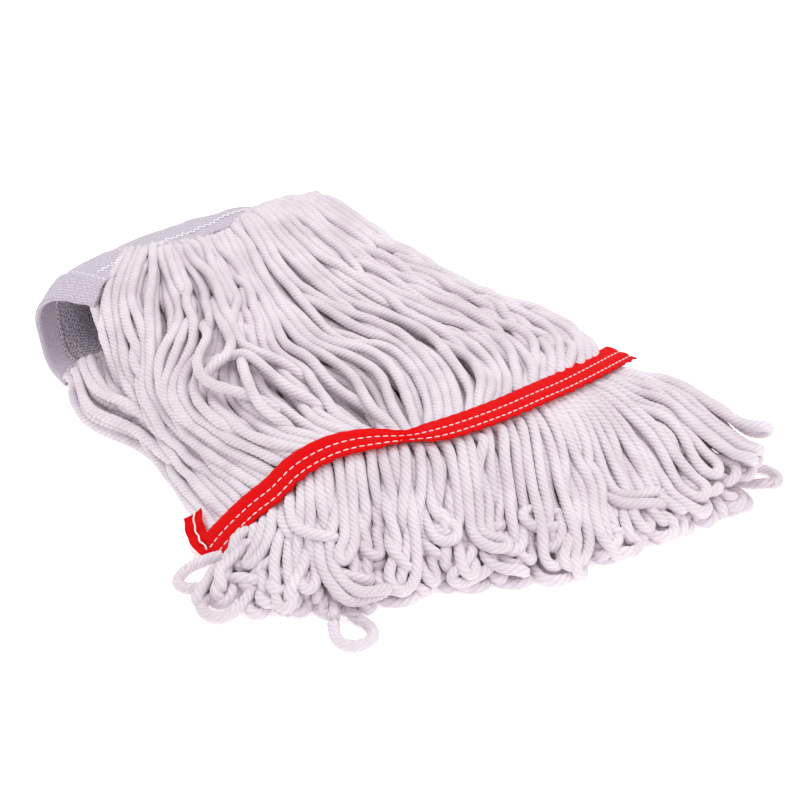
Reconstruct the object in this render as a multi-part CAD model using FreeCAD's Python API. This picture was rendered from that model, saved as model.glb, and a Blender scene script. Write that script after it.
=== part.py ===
"""Looped-end string mop head, folded in half over its mesh headband and lying flat.

The yarn runs from the fringe loops of one half, through the headband, to the fringe loops of the
other half. The band folds over a holder's bar, so the two halves lie one on the other. A red tape
is sewn over and under each half near its loops.

Row frame, in millimetres: +X from the fold to the loops, +Y along the fold, +Z up, floor at Z = 0.
The fold line bows in plan, so the band pieces are turned about a vertical axis, bow_centre.
"""

import FreeCAD
import Part

import math
import os

from FreeCAD import Vector

# ---------------------------------------------------------------- driving dimensions, mm and degrees
overall_length = 340.0  # fold to fringe tips
fringe_spread = 260.0  # across the fringe tips
clearance = 0.3  # between pieces that lie against each other

band_span = 181.0  # along the fold, hems included
band_half = 50.0  # from the fold to the sewn edge, round the bend
fold_radius = 25.0  # half the band's height where it is folded
mesh_thick = 1.0
waist_thick = 6.0  # the yarn pressed flat between mesh and lining
lining_thick = 1.0
sewn_gap = 0.1  # between layers that are sewn together
bow_radius = 240.0  # of the fold line in plan
bow_centre_y = 16.0  # the fold line reaches furthest back at this Y
bow_turn = -6.7  # of the band's middle about the bow's centre, positive towards +Y
hem_width = 13.0  # of the band's end, turned in over the lining
hem_thick = 1.0

bundles = 10  # hanks of yarn across each half
lane_gap = 0.8  # between neighbouring hanks
yarn_diameter = 5.2

shoulder_x = -72.0  # where the halves have closed up behind the bar's tunnel
middle_x = 0.0
upper_shoulder = (-101.0, 92.0)  # the upper half's edges there
upper_middle = (-106.0, 98.0)
lower_shoulder = (-97.0, 90.0)  # and the lower half's
lower_middle = (-96.0, 94.0)
lower_thick = 22.5  # of the lower half behind its tape
upper_crest = 47.5  # top of the upper half at its tape
upper_right = 38.0  # the same at its right edge
upper_left = 27.0  # and at its left edge, which hangs over the lower half's side
left_rest = 5.0  # underside of that hanging edge
crest_left = -58.0  # the crest lies between these two
crest_right = 30.0

tape_x = 100.0  # middle of the tapes, on the centre line
tape_bow = 28.0  # how far back their ends lie
tape_width = 16.0
tape_thick = 1.0
pinch = 8.0  # how far past the tape's edges the yarn is drawn in
upper_span = (-113.0, 113.0)  # the upper half's edges at its tape
lower_span = (-88.0, 98.0)  # the lower half's edges at its tape

thread = 0.8  # sewing thread laid flat: width
thread_thick = 0.4
tape_rows = (-5.0, 4.5)  # stitch rows, from the tape's middle
band_rows = (0.27, 0.73)  # stitch rows, as shares of the flat from the band's sewn edge

fringe_axis_x = 114.0  # the upper fringe lifts about a line along Y
fringe_axis_z = 47.5
tip_sweep = 40.0  # how far back the tips at the left edge lie, compared with the right
lower_tips = (-104.0, 126.0)  # the lower half's edges at its tips
lower_tip_top = 7.5
upper_tip_bottom = 10.5
upper_tip_top = 21.0
left_tip_bottom = 0.6  # of the hank that hangs over the left side
upper_tip_back = 8.0  # the upper tips lie this far behind the lower ones
tip_round = 4.0  # the last stretch of a hank, which narrows

# Free loops that stray from the fringe, chosen point by point as a loop lies. Each point is
# (x, y, z), counted in X and Y from the loop's anchor, which loop_anchors gives.
loop_routes = {
    "loose_loop_left_front": [
        (10.5, -3.8, 5.0), (13.5, -11, 3.2), (9, -18.2, 2.8), (-0.5, -18.4, 2.8),
        (-4, -11.5, 3.0), (0, -3.3, 4.5)],
    "loose_loop_left_back": [
        (-9.5, 5.1, 9.0), (-9.5, -5, 4.5), (-13.5, -16.5, 2.8), (-22.5, -18.4, 2.8),
        (-26.5, -11, 3.0)],
    "loose_loop_front_left": [
        (1.9, -4.3, 4.0), (9.5, -9.3, 3.0), (18, -5.8, 2.8), (19, 3.7, 2.8), (11.5, 9.2, 2.8),
        (4.5, 6.7, 3.2)],
    "loose_loop_right_front": [
        (-5.2, 0.9, 5.0), (-5.2, 5.6, 3.2), (-10, 10.4, 2.8), (-17.5, 10.4, 2.8),
        (-22.5, 5.5, 2.8), (-23, -0.5, 3.0), (-26, -5.7, 3.2)],
    "loose_loop_right_back": [
        (0, 1.1, 20.0), (-0.5, 8.9, 11.5), (-6, 12.6, 3.8), (-15, 11.9, 2.8), (-20.5, 4.9, 3.0)],
}

# ---------------------------------------------------------------- sizes that follow
fold_x = -overall_length / 2
tip_x = overall_length / 2
wall = mesh_thick + waist_thick + lining_thick + 2 * sewn_gap
band_top = 2 * fold_radius
band_flat = band_half - fold_radius * math.pi / 2
bend_radius = fold_radius - clearance / 2  # outside of the bend; the halves part at its middle
bow_centre = Vector(fold_x + bow_radius, bow_centre_y, 0)
edge_radius = bow_radius - bend_radius - band_flat  # from bow_centre to the band's sewn edge
half_angle = math.degrees(band_span / 2 / bow_radius)
hem_angle = math.degrees(hem_width / bow_radius)
web_angle = math.degrees(hem_thick / bow_radius)
tape_clear = tape_thick + 2 * clearance
tape_room = tape_width / 2 + pinch / 2
sewn_bottom = tape_thick + thread_thick + clearance
half_spread = fringe_spread / 2
lower_top_at_tape = lower_thick - tape_clear
lower_root_top = lower_top_at_tape - 0.7  # in front of the tape
upper_bottom_at_tape = lower_thick + tape_clear


# ---------------------------------------------------------------- helpers
def save(name, shape):
    """Writes one sub-part, and stops if any of its solids is faulty."""
    solids = shape.Solids
    if not solids or any(not s.isValid() or s.Volume <= 0 for s in solids):
        raise RuntimeError(name + " is not a sound solid")
    shape.exportStep(os.path.join("parts", name + ".step"))


def closed_curve(points):
    """A smooth closed wire through the points."""
    curve = Part.BSplineCurve()
    curve.interpolate(Points=points, PeriodicFlag=True)
    return Part.Wire([curve.toShape()])


def oval(centre, heading, half_width, half_height):
    """An upright oval section at centre, square to the plan direction heading, in degrees from +X."""
    across = Vector(-math.sin(math.radians(heading)), math.cos(math.radians(heading)), 0)
    points = []
    for turn in range(0, 360, 45):
        angle = math.radians(turn)
        points.append(
            centre + across * (half_width * math.cos(angle)) + Vector(0, 0, half_height * math.sin(angle))
        )
    return closed_curve(points)


def lane(span, index):
    """Middle and width of one hank's lane between a half's two edges."""
    width = (span[1] - span[0]) / bundles
    return span[0] + (index + 0.5) * width, width - lane_gap


def section(x, span, index, bottom, top, fullness=1.0, heading=0.0):
    """A hank's oval at x, in its lane of span, from bottom to top. fullness under 1 draws it in."""
    y, width = lane(span, index)
    centre = Vector(x, y, (bottom + top) / 2)
    return oval(centre, heading, width / 2 * fullness, (top - bottom) / 2 * fullness)


def band_edge_section(index, bottom, top):
    """A hank's oval where it leaves the band's sewn edge, square to the radius there."""
    free_angle = 2 * (half_angle - hem_angle)
    angle = -half_angle + hem_angle + (index + 0.5) * free_angle / bundles + bow_turn
    radius = edge_radius - clearance
    width = math.radians(free_angle) / bundles * radius - lane_gap
    middle = (bottom + top) / 2
    centre = bow_centre + Vector(
        -radius * math.cos(math.radians(angle)), radius * math.sin(math.radians(angle)), middle
    )
    return oval(centre, -angle, width / 2, (top - bottom) / 2)


def hank(sections):
    """One hank of yarn through its sections, straight from each to the next."""
    return Part.makeLoft(sections, True, True)


def tape_middle_x(y):
    """Where the tapes' middle line lies at y."""
    return tape_x - tape_bow * (y / upper_span[1]) ** 2


def mound(y):
    """Top of the upper half under its tape, at y."""
    if y < crest_left:
        share = (crest_left - y) / (crest_left - upper_span[0])
        return upper_crest - (upper_crest - upper_left) * share**2
    if y > crest_right:
        share = (y - crest_right) / (upper_span[1] - crest_right)
        return upper_crest - (upper_crest - upper_right) * share**2
    return upper_crest


def strip(route, half_width, thick, offset=0.0, shift=0.0):
    """A flat strip along route, a list of (y, z) points of the tapes' middle line.

    It is thick upwards from offset above the route, and shift lies along X from the middle line.
    """
    wires = []
    for i, (y, z) in enumerate(route):
        before, after = route[max(i - 1, 0)], route[min(i + 1, len(route) - 1)]
        along = Vector(0, after[0] - before[0], after[1] - before[1]).normalize()
        up = Vector(1, 0, 0).cross(along)
        x = tape_middle_x(y) + shift
        low, high = up * offset, up * (offset + thick)
        corners = [
            Vector(x - half_width, y, z) + low,
            Vector(x + half_width, y, z) + low,
            Vector(x + half_width, y, z) + high,
            Vector(x - half_width, y, z) + high,
        ]
        wires.append(Part.makePolygon(corners + corners[:1]))
    return Part.makeLoft(wires, True, True)


def sewn_rows(route, offset):
    """The stitch rows of a tape, offset above the route."""
    return [strip(route, thread / 2, thread_thick, offset, row) for row in tape_rows]


def turned(profile, start, sweep):
    """A band piece: its profile, in the X-Z plane through the bow's axis, turned by sweep degrees."""
    solid = profile.revolve(bow_centre, Vector(0, 0, 1), sweep)
    solid.rotate(bow_centre, Vector(0, 0, 1), start)
    return solid


def quarter(inner, outer, reach):
    """Profile of one layer of the lower half of the band: inner and outer are depths in its wall.

    It runs from the fold, round the bend, and along the floor to reach from the end of the bend.
    """
    centre = Vector(fold_x + bend_radius, bow_centre_y, bend_radius)
    small, large = bend_radius - outer, bend_radius - inner
    half = math.sqrt(0.5)

    def on(radius, x, z):
        return centre + Vector(x * radius, 0, z * radius)

    far = Vector(reach, 0, 0)
    edges = [
        Part.Arc(on(large, -1, 0), on(large, -half, -half), on(large, 0, -1)).toShape(),
        Part.makeLine(on(large, 0, -1), on(large, 0, -1) + far),
        Part.makeLine(on(large, 0, -1) + far, on(small, 0, -1) + far),
        Part.makeLine(on(small, 0, -1) + far, on(small, 0, -1)),
        Part.Arc(on(small, 0, -1), on(small, -half, -half), on(small, -1, 0)).toShape(),
        Part.makeLine(on(small, -1, 0), on(large, -1, 0)),
    ]
    return Part.Face(Part.Wire(edges))


def upper_copy(shape):
    """The same piece on the upper half: mirrored in the plane of the fold."""
    return shape.mirror(Vector(0, 0, fold_radius), Vector(0, 0, 1))


# ---------------------------------------------------------------- headband
def band_layer(inner, outer):
    """One layer of the lower half of the band between its hems' webs."""
    clear_angle = half_angle - web_angle - math.degrees(sewn_gap / edge_radius)
    return turned(quarter(inner, outer, band_flat), -clear_angle - bow_turn, 2 * clear_angle)


def hem(side):
    """The lower half's hem at one end: a web over the wall's edge, and a flap over the lining."""
    web = quarter(0, wall + sewn_gap + hem_thick, band_flat)
    flap = quarter(wall + sewn_gap, wall + sewn_gap + hem_thick, band_flat)
    if side < 0:
        web_start, flap_start = half_angle - web_angle, half_angle - hem_angle
    else:
        web_start, flap_start = -half_angle, -half_angle
    pieces = [
        turned(web, web_start - bow_turn, web_angle),
        turned(flap, flap_start - bow_turn, hem_angle),
    ]
    return pieces[0].fuse(pieces[1]).removeSplitter()


def band_stitches(height):
    """Rows of thread along the band's sewn edge, standing on a face at height."""
    rows = []
    for row in band_rows:
        x = bow_centre.x - edge_radius - row * band_flat
        corner = Vector(x - thread, bow_centre_y, height)
        corners = [
            corner,
            corner + Vector(thread, 0, 0),
            corner + Vector(thread, 0, thread_thick),
            corner + Vector(0, 0, thread_thick),
        ]
        profile = Part.Face(Part.makePolygon(corners + corners[:1]))
        row_angle = half_angle - hem_angle - math.degrees(clearance / edge_radius)
        rows.append(turned(profile, -row_angle - bow_turn, 2 * row_angle))
    return rows


def make_headband():
    waist = mesh_thick + sewn_gap
    depths = {
        "headband_mesh": (0, mesh_thick),
        "yarn_waist": (waist, waist + waist_thick),
        "headband_lining": (wall - lining_thick, wall),
    }
    for name, (inner, outer) in depths.items():
        lower = band_layer(inner, outer)
        save(name + "_lower", lower)
        save(name + "_upper", upper_copy(lower))
    for name, side in (("left", -1), ("right", 1)):
        lower = hem(side)
        save("headband_hem_%s_lower" % name, lower)
        save("headband_hem_%s_upper" % name, upper_copy(lower))
    inside = band_stitches(wall + sewn_gap)
    outside = band_stitches(band_top + sewn_gap)
    save("headband_stitching_lower", Part.makeCompound(inside))
    above = [upper_copy(row) for row in inside]
    save("headband_stitching_upper", Part.makeCompound(above + outside))


# ---------------------------------------------------------------- yarn
def share_of(x, start, end):
    """How far x has come from start to end, 0 to 1."""
    return (x - start) / (end - start)


def between(first, second, share):
    """The spans or numbers between first and second."""
    if isinstance(first, tuple):
        return tuple(between(a, b, share) for a, b in zip(first, second))
    return first + (second - first) * share


def tips_x(y):
    """Where the lower half's tips lie at y."""
    return tip_x - tip_sweep * ((half_spread - y) / fringe_spread) ** 2


def lowest(height, index, bottom):
    """The highest top an oval in this lane can have under the curve height, standing on bottom."""
    middle, width = lane(upper_span, index)
    tops = []
    for step in range(-9, 10):
        round_off = math.sqrt(1 - (step / 10) ** 2)
        room = height(middle + step / 10 * width / 2) - clearance
        tops.append((2 * room - bottom * (1 - round_off)) / (1 + round_off))
    return min(tops)


def make_lower_yarn():
    """The lower half's hanks, each from the band's edge, through its tapes, to its loops."""
    for i in range(bundles):
        x = tape_middle_x(lane(lower_span, i)[0])
        root, tips = x + tape_room, tips_x(lane(lower_tips, i)[0])
        half_way = (root + tips) / 2
        save(
            "lower_hank_%02d" % (i + 1),
            hank([
                band_edge_section(i, 0, wall),
                section(shoulder_x, lower_shoulder, i, 0, fold_radius - clearance / 2),
                section(middle_x, lower_middle, i, 0, lower_thick),
                section(x - tape_room, lower_span, i, sewn_bottom, lower_top_at_tape),
                section(root, lower_span, i, sewn_bottom, lower_root_top),
                section(half_way, between(lower_span, lower_tips, 0.5), i, 0,
                        between(lower_root_top, lower_tip_top, 0.5)),
                section(tips - tip_round, lower_tips, i, 0, lower_tip_top),
                section(tips, lower_tips, i, 0, lower_tip_top, 0.6),
            ]),
        )


def upper_bottom(index):
    """Underside of an upper hank at its tapes: the first one hangs beside the lower half."""
    return left_rest if index == 0 else upper_bottom_at_tape


def upper_hank_top(index):
    """Top of an upper hank under its tape."""
    return lowest(mound, index, upper_bottom(index))


def fringe_section(index, x, fullness=1.0):
    """An upper hank's oval at x, in front of its tape."""
    start = tape_middle_x(lane(upper_span, index)[0]) + tape_room
    tips = (-half_spread, half_spread)
    share = share_of(x, start, tips_x(lane(tips, index)[0]) - upper_tip_back)
    tip_bottom = upper_tip_bottom if index else left_tip_bottom
    bottom = between(upper_bottom(index), tip_bottom, share)
    top = between(upper_hank_top(index), upper_tip_top - (0 if index else 6), share**1.5)
    return section(x, between(upper_span, tips, share), index, bottom, top, fullness)


def make_upper_yarn():
    """The upper half's hanks, from the band's edge through its tapes to the fringe's hinge line."""
    floor = fold_radius + clearance / 2
    for i in range(bundles):
        x = tape_middle_x(lane(upper_span, i)[0])
        top = upper_hank_top(i)
        save(
            "upper_hank_%02d" % (i + 1),
            hank([
                band_edge_section(i, band_top - wall, band_top),
                section(shoulder_x, upper_shoulder, i, floor, band_top - 1),
                section(middle_x, upper_middle, i, floor, (top + band_top) / 2),
                section(x - tape_room, upper_span, i, upper_bottom(i), top),
                section(x + tape_room, upper_span, i, upper_bottom(i), top),
                fringe_section(i, fringe_axis_x - clearance),
            ]),
        )


def make_upper_fringe():
    """The upper half's hanks past the hinge line that they lift about."""
    for i in range(bundles):
        end = tips_x(lane((-half_spread, half_spread), i)[0]) - upper_tip_back
        start = fringe_axis_x
        half_way = (start + end) / 2
        save(
            "upper_fringe_hank_%02d" % (i + 1),
            hank([
                fringe_section(i, start),
                fringe_section(i, half_way),
                fringe_section(i, end - tip_round),
                fringe_section(i, end, 0.6),
            ]),
        )


# ---------------------------------------------------------------- tapes
def along(span, steps=24):
    """Places along Y from one end of span to the other."""
    return [between(span[0], span[1], i / steps) for i in range(steps + 1)]


def make_tapes():
    left, right = upper_span
    over = [(left - 2.5, upper_left - 9)]
    over += [(y, mound(y)) for y in along(upper_span)]
    half = tape_width / 2
    top_tape = strip(over, half, tape_thick)
    save("tailband_upper_top", top_tape)

    low, side = lower_thick + clearance, lower_span[0]
    under = [
        (left - 13.0, left_rest + 7), (left - 9.0, left_rest), (left - 3.0, left_rest - 2.5),
        (left + 6.0, left_rest - 3), (side - 8.0, left_rest - 1), (side - 3.6, left_rest + 5),
        (side - 2.6, low - 7),
    ]
    under += [(y, low) for y in along((side + 3.0, right))]
    save("tailband_upper_under", strip(under, half, tape_thick))

    sewn_span = (side + 5.0, lower_span[1])
    lower_top = [(y, lower_thick - tape_thick - clearance) for y in along(sewn_span)]
    lower_under = [(y, 0.0) for y in along(lower_span)]
    save("tailband_lower_top", strip(lower_top, half, tape_thick))
    save("tailband_lower_under", strip(lower_under, half, tape_thick))

    save("tailband_stitching_upper", Part.makeCompound(sewn_rows(over, tape_thick)))
    save("tailband_stitching_lower", Part.makeCompound(sewn_rows(lower_under, tape_thick)))


# ---------------------------------------------------------------- free loops
def rounded_route(points):
    """Straight runs joined by arcs, each as large as its two runs allow, and the arcs' radii."""
    edges, radii = [], []
    here = points[0]
    for i in range(1, len(points) - 1):
        back = (points[i - 1] - points[i])
        ahead = (points[i + 1] - points[i])
        shorter = min(back.Length, ahead.Length)
        turn = math.pi - back.getAngle(ahead)
        reach = 0.45 * shorter
        radius = reach / math.tan(turn / 2)
        back.normalize()
        ahead.normalize()
        start, end = points[i] + back * reach, points[i] + ahead * reach
        inward = (back + ahead).normalize()
        depth = radius / math.cos(turn / 2) - radius
        edges.append(Part.LineSegment(here, start).toShape())
        edges.append(Part.Arc(start, points[i] + inward * depth, end).toShape())
        radii.append(radius)
        here = end
    edges.append(Part.LineSegment(here, points[-1]).toShape())
    return Part.Wire(edges), radii


def upper_edge(x, side):
    """Y of the upper half's left (0) or right (1) edge at x, in front of its tape."""
    tips = (-half_spread, half_spread)
    outer_lane = (0, bundles - 1)[side]
    start = tape_middle_x(lane(upper_span, outer_lane)[0]) + tape_room
    share = share_of(x, start, tips_x(lane(tips, outer_lane)[0]) - upper_tip_back)
    return between(upper_span, tips, share)[side]


def loop_anchors():
    """The place in plan that each free loop's route is counted from."""
    left = (100.0, upper_edge(100.0, 0))
    front_y = lane(lower_tips, 0)[0]
    right_x = (fringe_axis_x + tip_x) / 2 - 7
    return {
        "loose_loop_left_front": left,
        "loose_loop_left_back": left,
        "loose_loop_front_left": (tips_x(front_y), front_y),
        "loose_loop_right_front": (tips_x(lower_tips[1]), lower_tips[1]),
        "loose_loop_right_back": (right_x, upper_edge(right_x, 1)),
    }


def make_loops():
    anchors = loop_anchors()
    for name, offsets in loop_routes.items():
        anchor = Vector(*anchors[name], 0)
        print(name, "is counted from %.1f, %.1f" % (anchor.x, anchor.y))
        route = [anchor + Vector(*p) for p in offsets]
        wire, radii = rounded_route(route)
        circle = Part.Wire([Part.makeCircle(yarn_diameter / 2, route[0], route[1] - route[0])])
        tube = wire.makePipeShell([circle], True, False)
        expected = math.pi * yarn_diameter**2 / 4 * wire.Length
        print("%s: %.0f mm long, tightest radius %.1f mm, volume %.3f of its section times its length"
              % (name, wire.Length, min(radii), tube.Volume / expected))
        save(name, tube)


def main():
    os.makedirs("parts", exist_ok=True)
    make_headband()
    make_lower_yarn()
    make_upper_yarn()
    make_upper_fringe()
    make_tapes()
    make_loops()


main()
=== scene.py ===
import math
import time

import bmesh
import bpy
import numpy as np
from mathutils import Matrix, Vector, noise


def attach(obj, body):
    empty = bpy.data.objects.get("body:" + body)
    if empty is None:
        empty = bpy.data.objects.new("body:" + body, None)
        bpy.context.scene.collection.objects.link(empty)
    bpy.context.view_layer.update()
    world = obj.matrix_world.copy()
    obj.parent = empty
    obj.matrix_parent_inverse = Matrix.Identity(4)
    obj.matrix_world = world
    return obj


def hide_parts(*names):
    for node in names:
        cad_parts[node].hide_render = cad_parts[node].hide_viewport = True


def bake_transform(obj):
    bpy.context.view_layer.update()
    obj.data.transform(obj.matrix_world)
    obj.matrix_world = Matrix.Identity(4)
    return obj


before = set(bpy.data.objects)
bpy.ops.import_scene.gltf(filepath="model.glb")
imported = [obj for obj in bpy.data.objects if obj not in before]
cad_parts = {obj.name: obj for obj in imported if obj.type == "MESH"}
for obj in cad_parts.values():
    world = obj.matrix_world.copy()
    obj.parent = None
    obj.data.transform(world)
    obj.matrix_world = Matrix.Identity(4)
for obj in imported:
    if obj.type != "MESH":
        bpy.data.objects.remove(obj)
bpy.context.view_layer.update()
mm = 0.001
started = time.time()
chance = np.random.default_rng(7)
nodes = list(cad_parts)


def linear(hexColour):
    # an sRGB hex colour as the linear values that a shader takes
    parts = [int(hexColour[i:i + 2], 16) / 255 for i in (1, 3, 5)]
    return tuple(p / 12.92 if p <= 0.04045 else ((p + 0.055) / 1.055) ** 2.4 for p in parts) + (1.0,)


def addNode(tree, kind, inputs, **settings):
    # inputs are values or other nodes' outputs, by socket, and settings go to the node's attributes
    node = tree.nodes.new("ShaderNode" + kind)
    for name, value in settings.items():
        setattr(node, name, value)
    for socket, value in inputs.items():
        if isinstance(value, bpy.types.NodeSocket):
            tree.links.new(value, node.inputs[socket])
        else:
            node.inputs[socket].default_value = value
    return node


def newMaterial(name, finish):
    # a material with its shader's constants set, and its tree to build on
    material = bpy.data.materials.new(name)
    material.use_nodes = True
    tree = material.node_tree
    tree.nodes.clear()
    shader = addNode(tree, "BsdfPrincipled", finish)
    addNode(tree, "OutputMaterial", {"Surface": shader.outputs["BSDF"]})
    return material, tree, shader


def addRamp(tree, source, stops):
    # a Color Ramp over the source, with two stops as (place, hex) pairs
    ramp = addNode(tree, "ValToRGB", {"Fac": source})
    for point, (place, colour) in zip(ramp.color_ramp.elements, stops):
        point.position = place
        point.color = linear(colour)
    return ramp.outputs["Color"]


def addSurface(tree, shader, colour, height, strength, depth):
    # the surface's colour, and the bump that a height gives it
    bump = addNode(tree, "Bump", {"Strength": strength, "Distance": depth, "Height": height})
    tree.links.new(colour, shader.inputs["Base Color"])
    tree.links.new(bump.outputs["Normal"], shader.inputs["Normal"])


def addMath(tree, operation, *values):
    return addNode(tree, "Math", dict(enumerate(values)), operation=operation).outputs["Value"]


def addRibs(tree, direction, pitch, place, distortion, detail=2.0, detailScale=1.0):
    # a Wave Texture whose bands lie a pitch apart, in metres
    return addNode(tree, "TexWave", {
        "Scale": 1 / pitch / 20 * 2 * math.pi, "Distortion": distortion, "Detail": detail,
        "Detail Scale": detailScale, "Vector": place}, bands_direction=direction).outputs["Fac"]


def addObject(name, data):
    thing = bpy.data.objects.new(name, data)
    bpy.context.scene.collection.objects.link(thing)
    return thing


def addSpline(line, points, steps):
    # a smooth open spline in a curve, with its control points in metres
    spline = line.splines.new("NURBS")
    spline.points.add(len(points) - 1)
    for point, place in zip(spline.points, points):
        point.co = (*place, 1)
    spline.order_u = 3
    spline.use_endpoint_u = True
    spline.resolution_u = steps
    return spline


def newLine(name):
    line = bpy.data.curves.new(name, "CURVE")
    line.dimensions = "3D"
    return line


def finishedMesh(thing):
    # the object's mesh with its bevel or modifiers applied
    bpy.context.view_layer.update()
    return bpy.data.meshes.new_from_object(thing.evaluated_get(bpy.context.evaluated_depsgraph_get()))


def lineMesh(line):
    # the mesh that a curve makes
    thing = addObject(line.name, line)
    mesh = finishedMesh(thing)
    bpy.data.objects.remove(thing)
    return mesh


def lengthOf(points):
    return float(np.linalg.norm(np.diff(points, axis=0), axis=1).sum())


def addMesh(name, shape, material, smooth=True):
    # a finished piece from a bmesh
    mesh = bpy.data.meshes.new(name)
    shape.to_mesh(mesh)
    shape.free()
    mesh.materials.append(material)
    for polygon in mesh.polygons:
        polygon.use_smooth = smooth
    return addObject(name, mesh)


def named(*starts):
    return [name for name in nodes if name.startswith(starts)]


def tell(text):
    print("%5.1f s  %s" % (time.time() - started, text))


def smooth(low, high, value):
    share = np.clip((value - low) / (high - low), 0, 1)
    return share * share * (3 - 2 * share)


view = {"lens": 85.5, "sensor": 36, "place": (0.681, -0.427, 0.475), "aim": (-0.001, 0.033, 0)}
cameraData = bpy.data.cameras.new("camera")
cameraData.lens = view["lens"]
cameraData.sensor_width = view["sensor"]
camera = addObject("camera", cameraData)
camera.location = view["place"]
camera.rotation_euler = (Vector(view["aim"]) - camera.location).to_track_quat("-Z", "Y").to_euler()
bpy.context.scene.camera = camera

# Cotton and rayon yarn, carded and plied: dull and soft, with a lilac cast in its off-white. A darker line
# is painted where two plies meet, as painted shade for the groove between them. The crease attribute is 1 along
# those lines.
yarnFinish = {
    "light": "#F0E6EE",
    "tone": "#E0D4DD",
    # line: the colour of the painted shade in the grooves between plies
    "line": "#A5949C",
    "fibreScale": 1 / 0.0006,  # 0.6 mm, coarser than the real fibres so that it shows
    "toneScale": 1 / 0.02,  # 20 mm patches of tone
    "fibreShare": 0.3,  # of the fibres in the tone and in the bump
    "plyShadePower": 1.6,  # how narrow the line between plies is
    "plyShadeShare": 0.21,  # how much of its colour shows
}
yarnLook, tree, shader = newMaterial("plied_cotton_yarn", {
    "Roughness": 0.93, "Sheen Weight": 0.2, "Sheen Roughness": 0.6, "Specular IOR Level": 0.15})
place = addNode(tree, "TexCoord", {}).outputs["Object"]
patches = addNode(tree, "TexNoise", {"Scale": yarnFinish["toneScale"], "Detail": 2.0, "Vector": place})
fibres = addNode(tree, "TexNoise", {"Scale": yarnFinish["fibreScale"], "Detail": 3.0, "Roughness": 0.65,
                                    "Vector": place}).outputs["Fac"]
tones = addMath(tree, "MULTIPLY_ADD", fibres, yarnFinish["fibreShare"], patches.outputs["Fac"])
ground = addRamp(tree, tones, [(0.45, yarnFinish["tone"]), (0.8, yarnFinish["light"])])
# painted shade: the line colour is mixed in along the creases, where the plies shade each other
crease = addNode(tree, "Attribute", {}, attribute_name="crease")
narrow = addMath(tree, "POWER", crease.outputs["Fac"], yarnFinish["plyShadePower"])
amount = addMath(tree, "MULTIPLY", narrow, yarnFinish["plyShadeShare"])
mixed = addNode(tree, "Mix", {"Factor": amount, 6: ground, 7: linear(yarnFinish["line"])}, data_type="RGBA")
raised = addMath(tree, "SUBTRACT", 1.0, narrow)
height = addMath(tree, "MULTIPLY_ADD", fibres, yarnFinish["fibreShare"], raised)
addSurface(tree, shader, mixed.outputs[2], height, 0.6, 0.0004)

# Warp-knitted polyester mesh: small holes in staggered rows between knitted ribs, 2 mm apart. It
# has a faint sheen and is a shade more lilac than the yarn. The holes are painted darker, as painted
# shade for the shadow behind them.
knitFinish = {
    "holePitch": 0.0019,
    "ribPitch": 0.0012,
    "ribShare": 0.35,  # of the ribs in the bump
    "light": "#D6CBD9",
    "tone": "#C0B4C3",
}


def knitMaterial(name, holeShadeColour, holeSize):
    material, tree, shader = newMaterial(name, {
        "Roughness": 0.75, "Sheen Weight": 0.25, "Sheen Roughness": 0.4, "Specular IOR Level": 0.3})
    place = addNode(tree, "UVMap", {}, uv_map="UVMap").outputs["UV"]
    turned = addNode(tree, "Mapping", {"Rotation": (0, 0, math.radians(45)), "Vector": place})
    cells = addNode(tree, "TexVoronoi", {"Scale": 1 / knitFinish["holePitch"], "Randomness": 0.5,
                                         "Vector": turned.outputs["Vector"]}, voronoi_dimensions="2D")
    ribs = addRibs(tree, "X", knitFinish["ribPitch"], place, 2.5, 2.0, 2.0)
    holes = addNode(tree, "MapRange", {"From Min": holeSize * 0.5, "From Max": holeSize,
                                       "Value": cells.outputs["Distance"]}).outputs["Result"]
    ground = addRamp(tree, ribs, [(0.2, knitFinish["tone"]), (0.8, knitFinish["light"])])
    # the holes take the hole colour: painted shade for the shadow behind the mesh
    mixed = addNode(tree, "Mix", {"Factor": holes, 6: linear(holeShadeColour), 7: ground}, data_type="RGBA")
    height = addMath(tree, "MULTIPLY_ADD", ribs, knitFinish["ribShare"], holes)
    addSurface(tree, shader, mixed.outputs[2], height, 0.5, 0.0006)
    return material


# the hole colours are painted shade, darker for the lining's holes
knitLook = knitMaterial("warp_knit_mesh", "#BDB1BF", 0.29)
liningLook = knitMaterial("warp_knit_lining", "#8A7F8D", 0.36)

# Woven polyester tape, dyed red: fine ribs across it, 0.8 mm apart, and a low gloss.
tapeFinish = {"ribPitch": 0.0008, "light": "#F20408", "tone": "#D20206"}
tapeLook, tree, shader = newMaterial("red_woven_tape", {
    "Roughness": 0.85, "Sheen Weight": 0.02, "Sheen Roughness": 0.4, "Specular IOR Level": 0.12})
place = addNode(tree, "UVMap", {}, uv_map="UVMap").outputs["UV"]
ribs = addRibs(tree, "X", tapeFinish["ribPitch"], place, 0.6, 1.0, 3.0)
ground = addRamp(tree, ribs, [(0.1, tapeFinish["tone"]), (0.9, tapeFinish["light"])])
addSurface(tree, shader, ground, ribs, 0.5, 0.0003)

# The hems are sewn with unbleached cotton thread. Its colour is darker than that thread, as painted
# shade for the shadowed needle holes along the seam inside the tunnel.
hemThreadShadeLook, tree, shader = newMaterial("unbleached_thread_with_painted_shade", {
    "Base Color": linear("#9A897E"), "Roughness": 0.8, "Specular IOR Level": 0.2})

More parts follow.
